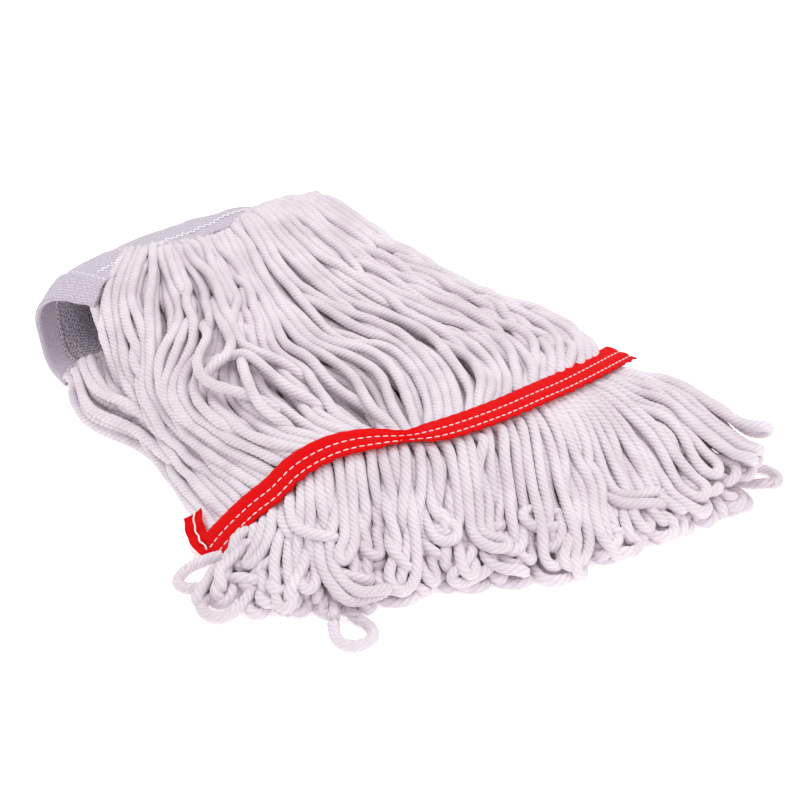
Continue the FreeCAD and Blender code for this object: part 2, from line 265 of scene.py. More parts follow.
# Spun polyester sewing thread, white: the grooves between its two plies are painted as a fine
# darker diagonal, 0.5 mm apart, as painted shade.
threadLook, tree, shader = newMaterial("spun_sewing_thread", {
    "Roughness": 0.6, "Sheen Weight": 0.2, "Specular IOR Level": 0.4})
place = addNode(tree, "TexCoord", {}).outputs["Object"]
plies = addRibs(tree, "DIAGONAL", 0.0005, place, 1.0)
tree.links.new(addRamp(tree, plies, [(0.1, "#EAE5EC"), (0.9, "#FFFFFF")]), shader.inputs["Base Color"])


def travelled(points):
    # how far along the line each point is
    return np.concatenate([[0], np.cumsum(np.linalg.norm(np.diff(points, axis=0), axis=1))])


def through(points, step):
    # evenly spaced points on a smooth line through the points
    points = np.asarray(points, float)
    ends = np.vstack([2 * points[0] - points[1], points, 2 * points[-1] - points[-2]])
    t = np.linspace(0, 1, 12, endpoint=False)[:, None]
    line = []
    for i in range(1, len(ends) - 2):
        a, b, c, d = ends[i - 1:i + 3]
        line.append(0.5 * (2 * b + (c - a) * t + (2 * a - 5 * b + 4 * c - d) * t ** 2
                           + (3 * b - a - 3 * c + d) * t ** 3))
    line = np.vstack(line + [points[-1:]])
    far = travelled(line)
    count = max(4, int(round(far[-1] / step)))
    wanted = np.linspace(0, far[-1], count + 1)
    return np.column_stack([np.interp(wanted, far, line[:, axis]) for axis in range(3)])


def unit(vector):
    return vector / max(np.linalg.norm(vector), 1e-9)


def blendRows(rows, share):
    # the row at this share of the way across the rows
    spot = np.clip(share, 0, 1) * (len(rows) - 1)
    first = min(int(spot), len(rows) - 2)
    return rows[first] + (rows[first + 1] - rows[first]) * (spot - first)


tapes = {
    "width": 16.0,  # mm
    "thick": 0.7,
    "lift": 1.4,  # of the top tape over its line
    "drop": {"upper": -20.6, "lower": -21.6},  # from the line down to the tape beneath
    "rows": (-0.9, 5.1),  # stitching, from the middle
    "stitch": 2.7,
    "stitchPitch": 3.5,
    "stitchLift": 0.62,
    "threadRadius": 0.33,
    "slackRadius": 0.42,  # of the thread on the cut end
    "pinchAt": (102, -33, 50),
    "pinchWidth": 8.5,
    "pinchReach": 9,
    "crease": 0.7,  # depth of the creases at the pinch
    "puff": 0.55,  # how far it stands out between the rows
    "rowWidth": 1.6,
    "ripple": 0.12,
    "rippleLength": 6.1,
    "scallop": 0.5,  # of the front edge, between stitches
    "scallopLength": 7.3,
    # the middle of the upper half's top tape, from its left end to its right one
    "upper": [(70, -112.5, 5.5), (72.5, -109, 12), (74, -101, 19), (76, -93, 25.5), (79, -86, 31),
              (81, -78, 39), (84, -69, 44.5), (88, -60, 48.5), (93, -50, 50.5), (98, -41, 51), (102, -32, 50.5),
              (104, -22, 50), (104.5, -10, 49.5), (104, 5, 49), (102, 21, 48), (99, 38, 47), (94.5, 58, 45),
              (89, 77, 43), (82, 95, 40), (76, 109, 37)],
    "lower": [(83, -88, 22), (91, -60, 22.4), (98, -30, 22.4), (100, 0, 22.4), (98, 30, 22.4),
              (91, 64, 22.4), (79, 98, 22)],
}


class Line:
    # a tape's middle line, with its directions along it, across it and out of the yarn
    def __init__(self, points, count):
        self.middle = through(points, 1.0)
        far = np.linspace(0, len(self.middle) - 1, count)
        self.middle = np.column_stack([np.interp(far, np.arange(len(self.middle)), self.middle[:, i])
                                       for i in range(3)])
        ends = self.middle[[0, -1]].copy()
        for _ in range(8):  # smooths it
            self.middle[1:-1] = (self.middle[:-2] + 2 * self.middle[1:-1] + self.middle[2:]) / 4
        self.middle[[0, -1]] = ends
        self.along = np.gradient(self.middle, axis=0)
        self.along /= np.linalg.norm(self.along, axis=1, keepdims=True)
        forward = np.array([1.0, 0, 0])
        self.across = forward - self.along * (self.along @ forward)[:, None]
        self.across /= np.linalg.norm(self.across, axis=1, keepdims=True)
        self.out = np.cross(self.across, self.along)
        self.length = lengthOf(self.middle)

    def nearest(self, place):
        # the share of the line that lies nearest to a place
        return int(np.argmin(np.linalg.norm(self.middle - place, axis=1))) / (len(self.middle) - 1)

    def at(self, share, which):
        return blendRows(getattr(self, which), share)


upperTape = Line(tapes["upper"], 160)
lowerTape = Line(tapes["lower"], 120)

yarn = {
    "thick": 5.1,  # mm, over the plies
    "gap": 4.55,  # between the middles of strands that touch: soft yarn gives a little
    "top": 56.5,  # how high a strand's middle may lie
    "spacing": 3.8,  # between the points of a strand
    "upperStrands": (52, 48, 42, 38),  # across each layer, from the outside in
    "lowerStrands": (44, 42, 38, 36),
    "layerStep": 5.0,
    "lowerStep": 4.7,
    "outerDrop": 2.4,  # of the outer layer below its guides
    "heart": (62, 26.0),  # the pile's middle: half its width and its height
    "inBand": {True: (46.0, -1.2), False: (4.0, 1.2)},  # height inside the band, and from layer to layer
    "wobble": 2.3,  # sideways
    "wobbleUp": 1.3,
    "endSink": 9,  # how far back the right end's yarn starts
    "pitch": 16.0,  # of the plies' twist
    "rounds": 90,  # of settling
    "lastRounds": 12,  # without weight
    "weight": 0.16,  # how far the fringe sinks in a round
    "pull": 0.025,  # back to where it was laid
    "farthest": (173, -140, 143),  # front, left and right limits
}

# the loops past the tape: limits of even draws, and spreads of normal ones
loopShape = {
    "upperShort": ((0, 30), (0, 24), (3, 24), (6, 28)),  # how far each layer's loops end before the tips
    "lowerShort": (0, 8),
    "perLayer": (2, 5),  # and more for each layer inwards
    "shortest": 16,
    "tipLift": (0, 3),
    "tipStep": 1.6,  # from layer to layer
    "sway": 2.6,
    "fall": (1.2, 1.9),  # how long it stays level
    "curl": 60,  # degrees
    "mostCurl": 130,
    "radius": (8, 15),  # of the curl
    "tilt": (-0.7, 0.3),
    "roll": 0.9,  # of the legs round each other
    "bulge": (1.0, 3.2),  # of the loop's end
    "legGap": 9,  # at the tape, at most
    "endGap": 2.7,  # from the pair's middle to each leg at the end
}

# lines that the top layer's yarn follows from the headband to the tape, from the left edge to the
# right, in mm; the left ones hang over the side
upperGuides = np.array([
    [(-140, -56, 49), (-133, -69, 45), (-116, -79, 41), (-100, -82, 33),
     (-80, -86, 24), (-54, -90, 15), (-4, -100, 8), (49, -109, 8)],
    [(-140, -48, 50), (-118, -65, 48), (-102, -76, 44), (-84, -84, 37),
     (-66, -88, 29), (-44, -91, 18), (0, -98, 11), (53, -106, 11)],
    [(-140, -41, 50), (-114, -59, 50), (-91, -73, 48), (-70, -83, 43),
     (-56, -87, 34), (-36, -91, 23), (3, -94, 15), (60, -102, 16)],
    [(-139, -35, 50), (-111, -54, 51), (-93, -67, 50), (-68, -75, 47),
     (-52, -83, 39), (-29, -90, 27), (9, -92, 19), (65, -99, 20)],
    [(-138, -31, 50), (-105, -49, 52), (-80, -64, 50), (-57, -74, 47),
     (-43, -84, 40), (-25, -90, 30), (14, -90, 24), (68, -94, 24)],
    [(-135, -27, 50), (-99, -44, 52), (-68, -54, 51), (-50, -62, 49),
     (-36, -78, 44), (-16, -90, 35), (20, -89, 29), (72, -91, 29)],
    [(-132, -24, 50), (-89, -37, 52), (-59, -47, 51), (-37, -62, 49),
     (-24, -79, 44), (-8, -90, 38), (27, -87, 33), (75, -86, 34)],
    [(-131, -20, 50), (-79, -34, 52), (-48, -46, 52), (-27, -61, 50),
     (-14, -77, 46), (4, -88, 42), (37, -84, 39), (78, -80, 39)],
    [(-130, -15, 50), (-75, -28, 52), (-39, -44, 52), (-16, -59, 50),
     (-1, -74, 48), (20, -84, 46), (49, -79, 44), (81, -73, 43)],
    [(-130, -6, 50), (-73, -22, 52), (-38, -38, 52), (-16, -50, 50),
     (2, -62, 49), (26, -67, 48), (57, -66, 47), (86, -63, 47)],
    [(-131, 4, 50), (-79, -11, 51), (-41, -25, 51), (-13, -36, 50),
     (13, -43, 50), (41, -46, 50), (67, -47, 49), (91, -51, 49)],
    [(-131, 12, 50), (-72, -6, 51), (-29, -21, 51), (-3, -25, 51),
     (16, -22, 51), (39, -21, 51), (66, -27, 50), (98, -39, 50)],
    [(-130, 18, 52), (-61, -3, 53), (-19, -12, 52), (4, -9, 51),
     (22, -1, 51), (45, -2, 51), (72, -11, 50), (101, -25, 49)],
    [(-126, 25, 54), (-63, 10, 54), (-26, 8, 52), (1, 13, 51),
     (24, 18, 50), (49, 17, 50), (76, 7, 49), (103, -7, 47)],
    [(-127, 34, 55), (-67, 24, 55), (-30, 27, 52), (-1, 34, 50),
     (25, 39, 49), (51, 37, 49), (77, 28, 48), (103, 14, 46)],
    [(-129, 44, 55), (-75, 40, 55), (-37, 45, 51), (-4, 51, 49),
     (24, 57, 48), (50, 57, 47), (76, 49, 46), (100, 37, 44)],
    [(-131, 54, 54), (-85, 56, 53), (-47, 62, 49), (-12, 70, 46),
     (21, 76, 46), (48, 78, 45), (73, 72, 44), (95, 60, 42)],
    [(-135, 67, 50), (-91, 69, 49), (-53, 71, 46), (-18, 77, 44),
     (15, 85, 43), (42, 94, 42), (67, 94, 41), (88, 83, 40)],
    [(-136, 81, 44), (-86, 73, 44), (-54, 73, 42), (-26, 79, 41),
     (2, 86, 40), (27, 98, 39), (54, 106, 38), (81, 104, 37)],
], float)

# strands that stray across the top layer
strayRoutes = [
    [(-50, -48, 46), (-23, -61, 54), (-8, -75, 54), (6, -81, 53), (16, -80, 52),
     (24, -75, 52), (33, -69, 51), (41, -62, 47), (46, -57, 39)],
    [(-10, -70, 45), (-3, -68, 54), (-2, -61, 56), (4, -56, 56),
     (18, -55, 55), (36, -55, 54), (48, -48, 49), (54, -43, 41)],
    [(-125, -21, 48), (-96, -27, 54), (-79, -29, 56), (-59, -35, 56), (-41, -43, 56),
     (-19, -50, 56), (-5, -53, 55), (6, -48, 54), (19, -40, 50), (26, -36, 42)],
    [(-18, -48, 46), (11, -62, 55), (27, -68, 54), (45, -72, 52), (57, -68, 48), (64, -64, 40)],
    [(-65, -35, 48), (-28, -49, 56), (-8, -56, 57), (2, -65, 56), (5, -74, 56), (6, -80, 50), (9, -81, 40)],
]

# strands that lead out to the loose loops, and whether they are the upper half's
looseEnds = [
    (True, [(80, -92, 18), (92, -97, 17), (102, -104, 13), (108.5, -115, 7.5), (110.5, -121.8, 5)]),
    (True, [(82, -98, 12), (92, -101, 10), (100, -107, 8), (102.5, -115, 6), (100, -121.3, 4.5)]),
    (True, [(80, -98, 15), (87, -103, 13), (90.5, -108, 11), (90.5, -112.9, 9)]),
    (True, [(84, -104, 8), (78, -111, 6), (72.5, -117, 4), (71, -123, 3), (73.5, -129, 3)]),
    (False, [(112, -78, 12), (128, -88, 9), (138, -94, 5.5), (142.6, -96.8, 4)]),
    (False, [(114, -74, 9), (128, -84, 6), (138, -87.5, 4), (145.2, -85.8, 3.2)]),
    (False, [(140, 108, 10), (154, 114, 9), (163, 121, 6.5), (164.8, 126.9, 5)]),
    (False, [(120, 101, 6), (132, 106, 5), (140, 113, 4), (144, 120.3, 3.2)]),
]
rightBackEnds = [  # these lead out to the right back loop, which rides on the upper half's fringe
    (True, [(96, 100, 33), (108, 106, 33), (120, 112, 32), (132, 118, 27), (135, 124.8, 20)]),
    (True, [(84, 92, 31), (92, 101, 24), (100, 110, 15), (108, 119.5, 6), (114.5, 128.6, 3)]),
]

# where the top layer's loops end, from the left to the right
upperTips = np.array([
    (96, -138, 4), (102, -134, 4), (106, -129, 4), (109, -123, 5), (115, -119, 5), (119, -114, 5),
    (123, -108, 5), (130, -103, 5), (135, -97, 5), (139, -87, 5), (141, -73, 5), (143, -57, 6),
    (147, -42, 6), (157, -29, 5), (161, -12, 6), (168, 10, 7), (172, 48, 8), (170, 102, 18), (154, 131, 21),
], float)

def raisedBy(height, spots):
    spots = np.array(spots, float)
    return np.concatenate([spots, np.full(spots.shape[:-1] + (1,), float(height))], axis=-1)


# the lower half's yarn on the floor, in the same way but all 3 mm up
lowerGuides = raisedBy(3, [
    [(-101, -99), (-88, -104), (-62, -108), (-30, -98), (20, -96), (60, -92), (74, -88)],
    [(-110, -64), (-92, -74), (-62, -80), (-25, -72), (20, -68), (66, -66), (82, -64)],
    [(-124, -32), (-98, -38), (-60, -44), (-20, -40), (22, -36), (72, -34), (89, -33)],
    [(-135, 0), (-100, -2), (-60, -6), (-20, -4), (24, -2), (76, 0), (91, 1)],
    [(-134, 30), (-100, 34), (-60, 36), (-20, 36), (24, 36), (74, 35), (88, 34)],
    [(-131, 54), (-98, 64), (-60, 68), (-20, 68), (22, 70), (68, 70), (81, 68)],
    [(-128, 68), (-96, 84), (-60, 90), (-20, 92), (20, 96), (62, 98), (72, 98)],
])
lowerTips = raisedBy(3, [
    (112, -116), (126, -100), (135, -84), (138, -60), (143, -38), (155, -24),
    (160, 3), (165, 36), (166, 74), (168, 108),
])

# strands are spread by the room that they have at the tape and at the band, each with its share and width
gaps = sum(part * np.linalg.norm(np.diff(upperGuides[:, end], axis=0), axis=1) / wide
           for end, part, wide in ((-1, 0.65, 246), (0, 0.35, 140)))
gaps[-3:] *= 1.5  # looser at the right end
roomAt = np.concatenate([[0], np.cumsum(gaps)]) / gaps.sum()


def spread(share, upper):
    # turns an even share across the half into the guides' share
    return np.interp(share, roomAt, np.linspace(0, 1, len(roomAt))) if upper else share


def pressed(points, front):
    # the layers are pressed together in the band, and free in front of it
    return 0.3 + 0.7 * smooth(-136, front, points[:, 0])


def inward(points, depth):
    # moves a line of the outer layer in towards the middle of the pile
    side, height = yarn["heart"]
    heart = np.column_stack([points[:, 0], np.clip(points[:, 1], -side, side), np.full(len(points), height)])
    towards = heart - points
    away = np.linalg.norm(towards, axis=1, keepdims=True)
    towards = towards / np.maximum(away, 1e-6)
    move = np.minimum(depth * pressed(points, -70), away[:, 0] * 0.92)
    return points + towards * move[:, None]


def makeLeg(upper, share, layer, across):
    # one leg of a loop, from inside the headband to the front of the tape
    route = blendRows(upperGuides if upper else lowerGuides, share).copy()
    fade = np.ones(len(route))
    fade[[0, -1]] = 0.15
    route[:, 1] += chance.normal(0, yarn["wobble"], len(route)) * fade * (0.7 if share < 0.4 else 1)
    route[:, 2] += chance.normal(0, yarn["wobbleUp"], len(route)) * fade
    if upper:
        route[0, 0] -= yarn["endSink"] * smooth(0.62, 0.76, share)
    start = route[0].copy()
    wall, step = yarn["inBand"][upper]
    wall += step * layer
    if upper:
        route = inward(route - (0, 0, yarn["outerDrop"]), yarn["layerStep"] * layer)
    else:
        route[:, 2] += layer * yarn["lowerStep"] * pressed(route, -80)
    if upper and layer == 0:
        # the outer strands come up through the mesh where they are sewn
        back = unit(np.array([start[0] - 70.0, start[1] - 16.0, 0.0]))
        into = [start + back * 3 - (0, 0, 8), start + back * 1.5 - (0, 0, 4)]
    else:
        into = [(start[0] - 8, start[1], wall), (start[0] - 4, start[1], wall)]
    line = upperTape if upper else lowerTape
    below = 0.4 + yarn["thick"] / 2 + layer * yarn["gap"]
    if not upper:
        below = 3.4 + (3 - layer) * yarn["lowerStep"]
    half = tapes["width"] / 2
    middle = line.at(across, "middle") - line.at(across, "out") * below
    middle[2] = max(middle[2], 2.6)
    tapeAcross = line.at(across, "across")
    sewn = [middle - tapeAcross * (half - 1), middle, middle + tapeAcross * (half - 1)]
    return np.vstack([into, route[:-1], sewn])


def makeLoop(upper, shares, layer):
    # two legs, joined by the loop that they end in
    line = upperTape if upper else lowerTape
    guides = upperGuides if upper else lowerGuides
    across = [line.nearest(blendRows(guides, share)[-1] + (9, 0, 0 if upper else 19)) for share in shares]
    one, other = (makeLeg(upper, share, layer, spot) for share, spot in zip(shares, across))
    share = float(np.mean(shares))
    spot = float(np.mean(across))
    begin = (one[-1] + other[-1]) / 2
    level = line.at(spot, "across")
    tip = blendRows(upperTips if upper else lowerTips, share).copy()
    tip[2] += chance.uniform(*loopShape["tipLift"]) + (3 - layer if upper else layer) * loopShape["tipStep"]
    if upper:
        tip -= np.array([0, 6, 7]) * layer * smooth(0.85, 1.0, share)
    reach = tip[:2] - begin[:2]
    back = [chance.uniform(*limits) for limits in loopShape["upperShort"]][layer]
    if not upper:
        back = chance.uniform(*loopShape["lowerShort"]) + layer * chance.uniform(*loopShape["perLayer"])
    back *= (1 - 0.6 * smooth(0.75, 0.95, share)) * (0.35 + 0.65 * smooth(0.03, 0.16, share))
    reach = unit(reach) * max(np.linalg.norm(reach) - back, loopShape["shortest"])
    tip[:2] = begin[:2] + reach
    distance = float(np.linalg.norm(reach))
    # the pair's middle line: level at the tape, then falling
    path = [begin + level * 5 - (0, 0, 0.5)]
    sideways = np.array([-reach[1], reach[0]]) / distance
    sway = chance.normal(0, loopShape["sway"], 2)
    fall = chance.uniform(*loopShape["fall"]) + 0.6 * smooth(0.75, 0.95, share)
    most = loopShape["mostCurl"]
    curl = math.radians(np.clip(chance.normal(0, loopShape["curl"]), -most, most))
    curl *= 1 - 0.7 * smooth(0.9, 0.97, share)
    radius = chance.uniform(*loopShape["radius"])
    ahead = np.array([*unit(reach), 0.0])
    stop = max(0.45, 1 - radius * abs(math.sin(min(abs(curl), math.pi / 2))) / distance)
    swell = 8 * smooth(0.7, 1.0, share) if upper else 0.0  # the right edge bulges out
    for part, swing in ((0.3, sway[0] + swell), (0.6, sway[1] + swell * 0.8), (1, 0)):
        s = part * stop
        path.append(np.array([*(begin[:2] + reach * s + sideways * swing),
                              begin[2] + (tip[2] - begin[2]) * s ** fall]))
    # the end curls to one side and down
    tilt = chance.uniform(*loopShape["tilt"])
    side3 = np.array([*(sideways * math.copysign(math.cos(tilt), curl)), math.sin(tilt)])
    base = path[-1]
    turned = abs(curl)
    for part in (0.5, 1.0):
        a = turned * part
        if turned < 0.3:
            path.append(base + ahead * 5 * part)
        else:
            path.append(base + ahead * radius * math.sin(a) + side3 * radius * (1 - math.cos(a)))
    path = through(path, 4.0)
    # the legs lie side by side, and wind round each other a little
    heading = np.gradient(path, axis=0)
    heading /= np.linalg.norm(heading, axis=1, keepdims=True)
    gap = other[-1] - one[-1]
    roll = chance.normal(0, loopShape["roll"])
    bulge = chance.uniform(*loopShape["bulge"])
    legs = ([], [])
    for i, (place, ahead) in enumerate(zip(path, heading)):
        gone = i / (len(path) - 1)
        side = unit(gap - ahead * gap.dot(ahead))
        up = np.cross(ahead, side)
        turn = roll * gone ** 1.5
        side = side * math.cos(turn) + up * math.sin(turn)
        wide = (1 - gone) * min(np.linalg.norm(gap), loopShape["legGap"]) / 2 + gone * loopShape["endGap"]
        if gone > 0.7:
            wide += (gone - 0.7) / 0.3 * bulge
        legs[0].append(place - side * wide)
        legs[1].append(place + side * wide)
    bulb = np.linalg.norm(legs[0][-1] - legs[1][-1]) / 2
    end = path[-1] + heading[-1]
    turn = []
    for angle in (-50, 0, 50):
        a = math.radians(angle)
        turn.append(end + heading[-1] * (bulb * math.cos(a)) + side * (bulb * math.sin(a)))
    points = np.vstack([one, legs[0], turn, legs[1][::-1], other[::-1]])
    points[:, 2] = np.maximum(points[:, 2], yarn["thick"] / 2)
    return through(points, yarn["spacing"])


def makeLoops():
    # every loop of both halves, with what it belongs to
    loops = []
    for upper in (True, False):
        for layer, count in enumerate(yarn["upperStrands" if upper else "lowerStrands"]):
            shares = (np.arange(count) + 0.5) / count
            shares += chance.normal(0, 0.15 / count, count)
            if layer % 2:
                shares = np.clip(shares + 0.5 / count, 0, 1)
            if layer:
                shares = 0.5 + (shares - 0.5) * (1 - (0.045 if upper else 0.01) * layer)
            shares = spread(np.clip(shares, 0, 1), upper)
            for i in range(0, count - 1, 2):
                loops.append({"upper": upper, "layer": layer, "stray": False,
                              "points": makeLoop(upper, shares[i:i + 2], layer)})
    for upper, route in [(True, route) for route in strayRoutes] + looseEnds + rightBackEnds:
        loops.append({"upper": upper, "layer": 0, "stray": True,
                      "points": through(np.array(route, float), yarn["spacing"])})
    return loops


def closePairs(points, reach):
    # index pairs of points nearer than reach, found on a grid of cells that size
    cell = np.floor((points - points.min(0)) / reach).astype(np.int64) + 1
    size = cell.max(0) + 2
    key = (cell[:, 0] * size[1] + cell[:, 1]) * size[2] + cell[:, 2]
    order = np.argsort(key, kind="stable")
    ranked = key[order]
    found = []
    steps = (-1, 0, 1)
    for shift in [(dx * size[1] + dy) * size[2] + dz for dx in steps for dy in steps for dz in steps]:
        if shift < 0:
            continue
        low = np.searchsorted(ranked, ranked + shift, "left")
        high = np.searchsorted(ranked, ranked + shift, "right")
        if shift == 0:
            low = np.arange(len(ranked)) + 1
        counts = np.maximum(high - low, 0)
        first = np.repeat(np.arange(len(ranked)), counts)
        within = np.arange(len(first)) - np.repeat(np.cumsum(counts) - counts, counts)
        found.append(np.column_stack([order[first], order[np.repeat(low, counts) + within]]))
    pairs = np.vstack(found)
    gap = points[pairs[:, 0]] - points[pairs[:, 1]]
    return pairs[(gap ** 2).sum(1) < reach ** 2]


def underTape(points, upper):
    # how far each point is from the tape over its half, along X past it
    x = np.interp(points[:, 1], upperTape.middle[:, 1], upperTape.middle[:, 0])
    low = np.interp(points[:, 1], lowerTape.middle[:, 1], lowerTape.middle[:, 0])
    return points[:, 0] - np.where(upper, x, low)


def settle(loops):
    # pushes strands apart to their thickness, keeps their length and lets the fringe down
    points = np.vstack([loop["points"] for loop in loops])
    owner = np.concatenate([np.full(len(loop["points"]), i) for i, loop in enumerate(loops)])
    ends = np.cumsum([len(loop["points"]) for loop in loops])
    starts = np.concatenate([[0], ends[:-1]])
    upper = np.array([loop["upper"] for loop in loops])[owner]
    stray = np.array([loop["stray"] for loop in loops])[owner]
    past = underTape(points, upper)
    free = np.where((np.abs(past) < 8) & ~stray, 0.0, 1.0)
    fringe = smooth(8, 30, past)
    for a, b, loop in zip(starts, ends, loops):
        held = 2 if loop["stray"] else 5  # inside the headband
        free[a:a + held] = 0
        free[b - held:b] = 0
    index = np.arange(len(points) - 1)
    joined = index[owner[:-1] == owner[1:]]
    rest = np.linalg.norm(points[joined + 1] - points[joined], axis=1)
    index = np.arange(len(points) - 2)
    bent = index[owner[:-2] == owner[2:]]
    chord = np.linalg.norm(points[bent + 2] - points[bent], axis=1)
    chord = np.maximum(chord, yarn["spacing"] * 1.72)
    home = points.copy()
    near = yarn["gap"]
    front, left, right = yarn["farthest"]
    # the right end's yarn is piled up, and hardly sinks
    weight = yarn["weight"] * fringe * free * (1 - 0.85 * smooth(60, 115, points[:, 1]) * upper)
    for turn in range(yarn["rounds"]):
        if turn % 4 == 0:
            pairs = closePairs(points, near + 1.0)
            a, b = pairs[:, 0], pairs[:, 1]
            own = (owner[a] == owner[b]) & (np.abs(a - b) < 4)
            held = (free[a] == 0) & (free[b] == 0)
            a, b = a[~own & ~held], b[~own & ~held]
        gap = points[a] - points[b]
        far = np.linalg.norm(gap, axis=1)
        hit = far < near
        i, j, gap, far = a[hit], b[hit], gap[hit], far[hit]
        total = np.maximum(free[i] + free[j], 1e-6)
        move = gap * ((near - far) / np.maximum(far, 1e-6) / total * 0.45)[:, None]
        for axis in range(3):
            shift = np.bincount(i, move[:, axis] * free[i], len(points))
            shift -= np.bincount(j, move[:, axis] * free[j], len(points))
            points[:, axis] += np.clip(shift, -0.9, 0.9)
        points[:, 2] -= weight if turn < yarn["rounds"] - yarn["lastRounds"] else 0
        for _ in range(2):
            for index, step, length, stiff in ((joined, 1, rest, 0.5), (bent, 2, chord, 0.25)):
                gap = points[index + step] - points[index]
                far = np.linalg.norm(gap, axis=1)
                wa, wb = free[index], free[index + step]
                share = (far - length) / np.maximum(far, 1e-6) * stiff / np.maximum(wa + wb, 1e-6)
                pull = gap * share[:, None]
                for axis in range(3):
                    points[:, axis] += np.bincount(index, pull[:, axis] * wa, len(points))
                    points[:, axis] -= np.bincount(index + step, pull[:, axis] * wb, len(points))
        points[:, 2] = np.clip(points[:, 2], yarn["thick"] / 2 + 0.1, yarn["top"])
        points += (home - points) * (yarn["pull"] * free * (1 - 0.9 * fringe))[:, None]
        points[:, 0] = np.minimum(points[:, 0], front)
        points[:, 1] = np.clip(points[:, 1], left, right)
    for _ in range(2):  # takes out the last jitter
        even = points.copy()
        even[bent + 1] = (points[bent] + 2 * points[bent + 1] + points[bent + 2]) / 4
        points = np.where(free[:, None] > 0, even, points)
    for loop, a, b in zip(loops, starts, ends):
        loop["points"] = points[a:b]


def plyProfile(name, ridges):
    # a cross-section of the plied yarn as a closed curve: a crease, then a ridge, and so on round
    line = bpy.data.curves.new(name, "CURVE")
    line.dimensions = "2D"
    spline = line.splines.new("POLY")
    spline.points.add(2 * ridges - 1)
    for i, point in enumerate(spline.points):
        a = math.radians(180 / ridges * i)
        r = yarn["thick"] / 2 * (1.02 if i % 2 else 0.93) * mm
        point.co = (r * math.cos(a), r * math.sin(a), 0, 1)
    spline.use_cyclic_u = True
    return addObject(name, line)


fineProfile = plyProfile("fine_profile", 6)
plainProfile = plyProfile("plain_profile", 5)


def yarnPiece(name, strands, profile, steps):
    # twisted yarn along each line of points, all in one mesh
    line = newLine(name + "_line")
    line.bevel_mode = "OBJECT"
    line.bevel_object = profile
    line.use_fill_caps = True
    line.twist_mode = "MINIMUM"
    for points in strands:
        spline = addSpline(line, points * mm, steps)
        offset = chance.uniform(0, 6)
        for point, gone in zip(spline.points, travelled(points)):
            point.radius = float(np.clip(chance.normal(1, 0.045), 0.88, 1.1))
            point.tilt = offset - gone / yarn["pitch"] * 2 * math.pi + chance.normal(0, 0.16)
        spline.use_smooth = True
    mesh = lineMesh(line)
    mesh.name = name
    piece = addObject(name, mesh)
    mesh.materials.clear()
    mesh.materials.append(yarnLook)
    for polygon in mesh.polygons:
        polygon.use_smooth = True
    # each section starts with a crease, and every other corner is one; the yarn material paints shade along
    # these creases
    marks = mesh.attributes.new("crease", "FLOAT", "POINT")
    marks.data.foreach_set("value", (np.arange(len(mesh.vertices)) % 2 == 0).astype(np.float32))
    return piece


loops = makeLoops()
tell("%d loops laid out, %d points" % (len(loops), sum(len(l["points"]) for l in loops)))
settle(loops)
tell("yarn settled")

yarnNodes = {
    True: named("upper_hank", "upper_fringe", "yarn_waist_upper"),
    False: named("lower_hank", "yarn_waist_lower"),
}
rightBackStrands = [loops.pop()["points"] for _ in rightBackEnds]
strayStrands = [loop["points"] for loop in loops if loop["upper"] and loop["stray"]]
loops = [loop for loop in loops if not (loop["upper"] and loop["stray"])]
yarnPieces = []  # name, lines, whether upper and fine, where the bend to the fringe starts and ends
for upper, word in ((True, "upper"), (False, "lower")):
    for layer in range(4):
        group = [loop["points"] for loop in loops if loop["upper"] == upper and loop["layer"] == layer]
        fine = upper and layer < 2
        parts = "ab" if fine else [""]
        for i, part in enumerate(parts):
            some = group[i * len(group) // len(parts):(i + 1) * len(group) // len(parts)]
            name = "%s_yarn_layer_%d%s" % (word, layer + 1, part)
            yarnPieces.append((name, some, upper, fine, 0.110, 0.134))
yarnPieces.append(("stray_strands", strayStrands, True, True, 0.110, 0.134))
yarnPieces.append(("right_back_strands", rightBackStrands, True, True, 0.085, 0.112))
for name, strands, upper, fine, start, end in yarnPieces:
    piece = yarnPiece(name, strands, fineProfile if fine else plainProfile, 3 if fine else 2)
    tell("%s has %d triangles" % (name, sum(len(p.vertices) - 2 for p in piece.data.polygons)))
    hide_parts(*yarnNodes[upper])
    if upper:
        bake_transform(piece)
    else:
        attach(piece, "lower_half")
tell("yarn meshes made")

# single loops that stray from the fringe: the body that each rides on, and its route in mm
looseLoops = {
    "left_front": ("upper_half", [
        (110.5, -121.8, 5.0), (113.5, -129, 3.2), (109, -136.2, 2.8), (99.5, -136.4, 2.8), (96, -129.5, 3.0),
        (100, -121.3, 4.5)]),
    "left_back": ("upper_half", [
        (90.5, -112.9, 9.0), (90.5, -123, 4.5), (86.5, -134.5, 2.8), (77.5, -136.4, 2.8), (73.5, -129, 3.0)]),
    "front_left": ("lower_half", [
        (142.6, -96.8, 4.0), (150.2, -101.8, 3.0), (158.7, -98.3, 2.8), (159.7, -88.8, 2.8),
        (152.2, -83.3, 2.8), (145.2, -85.8, 3.2)]),
    "right_front": ("lower_half", [
        (164.8, 126.9, 5.0), (164.8, 131.6, 3.2), (160, 136.4, 2.8), (152.5, 136.4, 2.8), (147.5, 131.5, 2.8),
        (147, 125.5, 3.0), (144, 120.3, 3.2)]),
    "right_back": ("upper_fringe", [
        (135, 124.8, 20.0), (134.5, 132.6, 11.5), (129, 136.3, 3.8), (120, 135.6, 2.8), (114.5, 128.6, 3.0)]),
}
for name, (body, route) in looseLoops.items():
    line = newLine(name + "_route")
    addSpline(line, np.array(route) * mm, 8)
    path = np.array([v.co[:] for v in lineMesh(line).vertices])
    piece = yarnPiece(name + "_loop", [path / mm], fineProfile, 2)
    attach(piece, body)
    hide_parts("loose_loop_" + name)
for profile in (fineProfile, plainProfile):
    bpy.data.objects.remove(profile)
tell("loose loops made")


